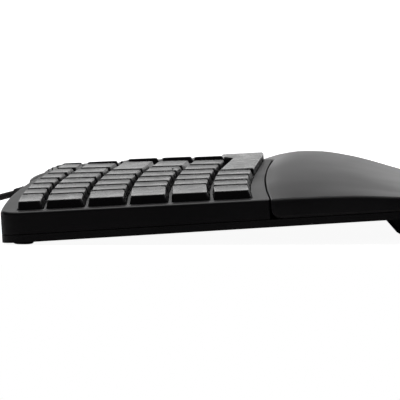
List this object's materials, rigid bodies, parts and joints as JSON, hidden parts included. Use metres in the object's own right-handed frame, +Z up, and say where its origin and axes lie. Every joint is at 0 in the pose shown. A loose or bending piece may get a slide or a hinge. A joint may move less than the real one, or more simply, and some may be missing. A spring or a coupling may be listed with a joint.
{
  "type": "ergonomic split keyboard",
  "caption": "Gull-wing ergonomic keyboard with two curved key fields, low island keys, a fitted palm rest, folding front risers and a coiled USB cord.",
  "frame": {"origin": "middle of the footprint of the keyboard without its cord, on the desk plane", "axes": "+X to the right along the keys, +Y to the rear where the cord leaves, +Z up; the front stands raised on its legs as in the picture"},
  "size_m": [0.474, 0.3673, 0.0378],
  "materials": {
    "case_plastic": "fine-grained black ABS",
    "palm_plastic": "soft-touch black",
    "key_plastic": "satin black ABS",
    "inner_plastic": "moulded black",
    "dome_silicone": "milky silicone",
    "membrane_film": "printed polyester film",
    "plate_steel": "zinc-plated sheet",
    "board_laminate": "green solder mask",
    "screw_steel": "zinc-plated",
    "foot_rubber": "moulded rubber",
    "cord_jacket": "matte PVC jacket",
    "plug_steel": "nickel-plated steel"
  },
  "bodies": {
    "case": {"top_case": "case_plastic", "bottom_case": "case_plastic", "palm_rest": "palm_plastic", "key_guide_frame": "inner_plastic", "rubber_domes": "dome_silicone", "switch_membrane": "membrane_film", "backplate": "plate_steel", "controller_board": "board_laminate", "membrane_clamp": "inner_plastic", "case_screws": "screw_steel", "board_screws": "screw_steel", "rear_feet": "foot_rubber", "front_feet": "foot_rubber", "cable_run": "cord_jacket", "cable_coil": "cord_jacket", "plug_lead": "cord_jacket", "plug_grip": "cord_jacket", "plug_shell": "plug_steel", "coil_tie": "cord_jacket", "strain_relief": "cord_jacket"},
    "left_riser": {"left_leg": "case_plastic", "left_leg_pad": "foot_rubber"},
    "right_riser": {"right_leg": "case_plastic", "right_leg_pad": "foot_rubber"},
    "escape_key_body": {"escape_key": "key_plastic"},
    "function_keys_left_body": {"function_keys_left": "key_plastic"},
    "grave_key_body": {"grave_key": "key_plastic"},
    "number_keys_left_body": {"number_keys_left": "key_plastic"},
    "tab_key_body": {"tab_key": "key_plastic"},
    "upper_letters_left_body": {"upper_letters_left": "key_plastic"},
    "caps_lock_key_body": {"caps_lock_key": "key_plastic"},
    "home_letters_left_body": {"home_letters_left": "key_plastic"},
    "left_shift_key_body": {"left_shift_key": "key_plastic"},
    "lower_letters_left_body": {"lower_letters_left": "key_plastic"},
    "left_control_key_body": {"left_control_key": "key_plastic"},
    "left_modifier_keys_body": {"left_modifier_keys": "key_plastic"},
    "function_keys_right_body": {"function_keys_right": "key_plastic"},
    "number_keys_right_body": {"number_keys_right": "key_plastic"},
    "backspace_key_body": {"backspace_key": "key_plastic"},
    "upper_letters_right_body": {"upper_letters_right": "key_plastic"},
    "backslash_key_body": {"backslash_key": "key_plastic"},
    "home_letters_right_body": {"home_letters_right": "key_plastic"},
    "enter_key_body": {"enter_key": "key_plastic"},
    "lower_letters_right_body": {"lower_letters_right": "key_plastic"},
    "right_shift_key_body": {"right_shift_key": "key_plastic"},
    "right_modifier_keys_body": {"right_modifier_keys": "key_plastic"},
    "right_control_key_body": {"right_control_key": "key_plastic"},
    "system_keys_body": {"system_keys": "key_plastic"},
    "editing_keys_body": {"editing_keys": "key_plastic"},
    "side_arrow_keys_body": {"side_arrow_keys": "key_plastic"},
    "keypad_function_keys_body": {"keypad_function_keys": "key_plastic"},
    "keypad_operator_keys_body": {"keypad_operator_keys": "key_plastic"},
    "keypad_digit_keys_body": {"keypad_digit_keys": "key_plastic"},
    "keypad_zero_key_body": {"keypad_zero_key": "key_plastic"},
    "keypad_point_key_body": {"keypad_point_key": "key_plastic"},
    "up_arrow_key_body": {"up_arrow_key": "key_plastic"},
    "keypad_plus_key_body": {"keypad_plus_key": "key_plastic"},
    "keypad_enter_key_body": {"keypad_enter_key": "key_plastic"},
    "space_bar_body": {"space_bar": "key_plastic"}
  },
  "joints": [
    {"name": "escape_key_press", "type": "slide", "parent": "case", "child": "escape_key_body", "axis": [0.0799, -0.05, -0.9956], "range_m": [0, 0.0025], "stiffness_N_per_m": 250, "springref_m": -0.001, "deforming": ["rubber_domes"]},
    {"name": "function_keys_left_press", "type": "slide", "parent": "case", "child": "function_keys_left_body", "axis": [0.0799, -0.05, -0.9956], "range_m": [0, 0.0025], "stiffness_N_per_m": 1500, "springref_m": -0.001, "deforming": ["rubber_domes"]},
    {"name": "grave_key_press", "type": "slide", "parent": "case", "child": "grave_key_body", "axis": [0.0799, -0.05, -0.9956], "range_m": [0, 0.0025], "stiffness_N_per_m": 250, "springref_m": -0.001, "deforming": ["rubber_domes"]},
    {"name": "number_keys_left_press", "type": "slide", "parent": "case", "child": "number_keys_left_body", "axis": [0.0799, -0.05, -0.9956], "range_m": [0, 0.0025], "stiffness_N_per_m": 1500, "springref_m": -0.001, "deforming": ["rubber_domes"]},
    {"name": "tab_key_press", "type": "slide", "parent": "case", "child": "tab_key_body", "axis": [0.0799, -0.05, -0.9956], "range_m": [0, 0.0025], "stiffness_N_per_m": 250, "springref_m": -0.001, "deforming": ["rubber_domes"]},
    {"name": "upper_letters_left_press", "type": "slide", "parent": "case", "child": "upper_letters_left_body", "axis": [0.0799, -0.05, -0.9956], "range_m": [0, 0.0025], "stiffness_N_per_m": 1250, "springref_m": -0.001, "deforming": ["rubber_domes"]},
    {"name": "caps_lock_key_press", "type": "slide", "parent": "case", "child": "caps_lock_key_body", "axis": [0.0799, -0.05, -0.9956], "range_m": [0, 0.0025], "stiffness_N_per_m": 250, "springref_m": -0.001, "deforming": ["rubber_domes"]},
    {"name": "home_letters_left_press", "type": "slide", "parent": "case", "child": "home_letters_left_body", "axis": [0.0799, -0.05, -0.9956], "range_m": [0, 0.0025], "stiffness_N_per_m": 1250, "springref_m": -0.001, "deforming": ["rubber_domes"]},
    {"name": "left_shift_key_press", "type": "slide", "parent": "case", "child": "left_shift_key_body", "axis": [0.0799, -0.05, -0.9956], "range_m": [0, 0.0025], "stiffness_N_per_m": 250, "springref_m": -0.001, "deforming": ["rubber_domes"]},
    {"name": "lower_letters_left_press", "type": "slide", "parent": "case", "child": "lower_letters_left_body", "axis": [0.0799, -0.05, -0.9956], "range_m": [0, 0.0025], "stiffness_N_per_m": 1250, "springref_m": -0.001, "deforming": ["rubber_domes"]},
    {"name": "left_control_key_press", "type": "slide", "parent": "case", "child": "left_control_key_body", "axis": [0.0799, -0.05, -0.9956], "range_m": [0, 0.0025], "stiffness_N_per_m": 250, "springref_m": -0.001, "deforming": ["rubber_domes"]},
    {"name": "left_modifier_keys_press", "type": "slide", "parent": "case", "child": "left_modifier_keys_body", "axis": [0.0799, -0.05, -0.9956], "range_m": [0, 0.0025], "stiffness_N_per_m": 750, "springref_m": -0.001, "deforming": ["rubber_domes"]},
    {"name": "function_keys_right_press", "type": "slide", "parent": "case", "child": "function_keys_right_body", "axis": [-0.0799, -0.05, -0.9956], "range_m": [0, 0.0025], "stiffness_N_per_m": 2000, "springref_m": -0.001, "deforming": ["rubber_domes"]},
    {"name": "number_keys_right_press", "type": "slide", "parent": "case", "child": "number_keys_right_body", "axis": [-0.0799, -0.05, -0.9956], "range_m": [0, 0.0025], "stiffness_N_per_m": 1500, "springref_m": -0.001, "deforming": ["rubber_domes"]},
    {"name": "backspace_key_press", "type": "slide", "parent": "case", "child": "backspace_key_body", "axis": [-0.0799, -0.05, -0.9956], "range_m": [0, 0.0025], "stiffness_N_per_m": 300, "springref_m": -0.001, "deforming": ["rubber_domes"]},
    {"name": "upper_letters_right_press", "type": "slide", "parent": "case", "child": "upper_letters_right_body", "axis": [-0.0799, -0.05, -0.9956], "range_m": [0, 0.0025], "stiffness_N_per_m": 1750, "springref_m": -0.001, "deforming": ["rubber_domes"]},
    {"name": "backslash_key_press", "type": "slide", "parent": "case", "child": "backslash_key_body", "axis": [-0.0799, -0.05, -0.9956], "range_m": [0, 0.0025], "stiffness_N_per_m": 250, "springref_m": -0.001, "deforming": ["rubber_domes"]},
    {"name": "home_letters_right_press", "type": "slide", "parent": "case", "child": "home_letters_right_body", "axis": [-0.0799, -0.05, -0.9956], "range_m": [0, 0.0025], "stiffness_N_per_m": 1500, "springref_m": -0.001, "deforming": ["rubber_domes"]},
    {"name": "enter_key_press", "type": "slide", "parent": "case", "child": "enter_key_body", "axis": [-0.0799, -0.05, -0.9956], "range_m": [0, 0.0025], "stiffness_N_per_m": 300, "springref_m": -0.001, "deforming": ["rubber_domes"]},
    {"name": "lower_letters_right_press", "type": "slide", "parent": "case", "child": "lower_letters_right_body", "axis": [-0.0799, -0.05, -0.9956], "range_m": [0, 0.0025], "stiffness_N_per_m": 1250, "springref_m": -0.001, "deforming": ["rubber_domes"]},
    {"name": "right_shift_key_press", "type": "slide", "parent": "case", "child": "right_shift_key_body", "axis": [-0.0799, -0.05, -0.9956], "range_m": [0, 0.0025], "stiffness_N_per_m": 300, "springref_m": -0.001, "deforming": ["rubber_domes"]},
    {"name": "right_modifier_keys_press", "type": "slide", "parent": "case", "child": "right_modifier_keys_body", "axis": [-0.0799, -0.05, -0.9956], "range_m": [0, 0.0025], "stiffness_N_per_m": 750, "springref_m": -0.001, "deforming": ["rubber_domes"]},
    {"name": "right_control_key_press", "type": "slide", "parent": "case", "child": "right_control_key_body", "axis": [-0.0799, -0.05, -0.9956], "range_m": [0, 0.0025], "stiffness_N_per_m": 250, "springref_m": -0.001, "deforming": ["rubber_domes"]},
    {"name": "system_keys_press", "type": "slide", "parent": "case", "child": "system_keys_body", "axis": [0, -0.0502, -0.9987], "range_m": [0, 0.0025], "stiffness_N_per_m": 750, "springref_m": -0.001, "deforming": ["rubber_domes"]},
    {"name": "editing_keys_press", "type": "slide", "parent": "case", "child": "editing_keys_body", "axis": [0, -0.0502, -0.9987], "range_m": [0, 0.0025], "stiffness_N_per_m": 1500, "springref_m": -0.001, "deforming": ["rubber_domes"]},
    {"name": "side_arrow_keys_press", "type": "slide", "parent": "case", "child": "side_arrow_keys_body", "axis": [0, -0.0502, -0.9987], "range_m": [0, 0.0025], "stiffness_N_per_m": 750, "springref_m": -0.001, "deforming": ["rubber_domes"]},
    {"name": "keypad_function_keys_press", "type": "slide", "parent": "case", "child": "keypad_function_keys_body", "axis": [0, -0.0502, -0.9987], "range_m": [0, 0.0025], "stiffness_N_per_m": 1000, "springref_m": -0.001, "deforming": ["rubber_domes"]},
    {"name": "keypad_operator_keys_press", "type": "slide", "parent": "case", "child": "keypad_operator_keys_body", "axis": [0, -0.0502, -0.9987], "range_m": [0, 0.0025], "stiffness_N_per_m": 1000, "springref_m": -0.001, "deforming": ["rubber_domes"]},
    {"name": "keypad_digit_keys_press", "type": "slide", "parent": "case", "child": "keypad_digit_keys_body", "axis": [0, -0.0502, -0.9987], "range_m": [0, 0.0025], "stiffness_N_per_m": 2250, "springref_m": -0.001, "deforming": ["rubber_domes"]},
    {"name": "keypad_zero_key_press", "type": "slide", "parent": "case", "child": "keypad_zero_key_body", "axis": [0, -0.0502, -0.9987], "range_m": [0, 0.0025], "stiffness_N_per_m": 300, "springref_m": -0.001, "deforming": ["rubber_domes"]},
    {"name": "keypad_point_key_press", "type": "slide", "parent": "case", "child": "keypad_point_key_body", "axis": [0, -0.0502, -0.9987], "range_m": [0, 0.0025], "stiffness_N_per_m": 250, "springref_m": -0.001, "deforming": ["rubber_domes"]},
    {"name": "up_arrow_key_press", "type": "slide", "parent": "case", "child": "up_arrow_key_body", "axis": [0, -0.0502, -0.9987], "range_m": [0, 0.0025], "stiffness_N_per_m": 250, "springref_m": -0.001, "deforming": ["rubber_domes"]},
    {"name": "keypad_plus_key_press", "type": "slide", "parent": "case", "child": "keypad_plus_key_body", "axis": [0, -0.0502, -0.9987], "range_m": [0, 0.0025], "stiffness_N_per_m": 300, "springref_m": -0.001, "deforming": ["rubber_domes"]},
    {"name": "keypad_enter_key_press", "type": "slide", "parent": "case", "child": "keypad_enter_key_body", "axis": [0, -0.0502, -0.9987], "range_m": [0, 0.0025], "stiffness_N_per_m": 300, "springref_m": -0.001, "deforming": ["rubber_domes"]},
    {"name": "space_bar_press", "type": "slide", "parent": "case", "child": "space_bar_body", "axis": [0, -0.0592, -0.9982], "range_m": [0, 0.0025], "stiffness_N_per_m": 400, "springref_m": -0.001, "deforming": ["rubber_domes"]},
    {"name": "left_riser_fold", "type": "hinge", "parent": "case", "child": "left_riser", "pos_m": [-0.171, -0.0645, 0.01455], "axis": [1, 0, 0], "range_deg": [0, 128]},
    {"name": "right_riser_fold", "type": "hinge", "parent": "case", "child": "right_riser", "pos_m": [0.171, -0.0645, 0.01455], "axis": [1, 0, 0], "range_deg": [0, 128]}
  ]
}
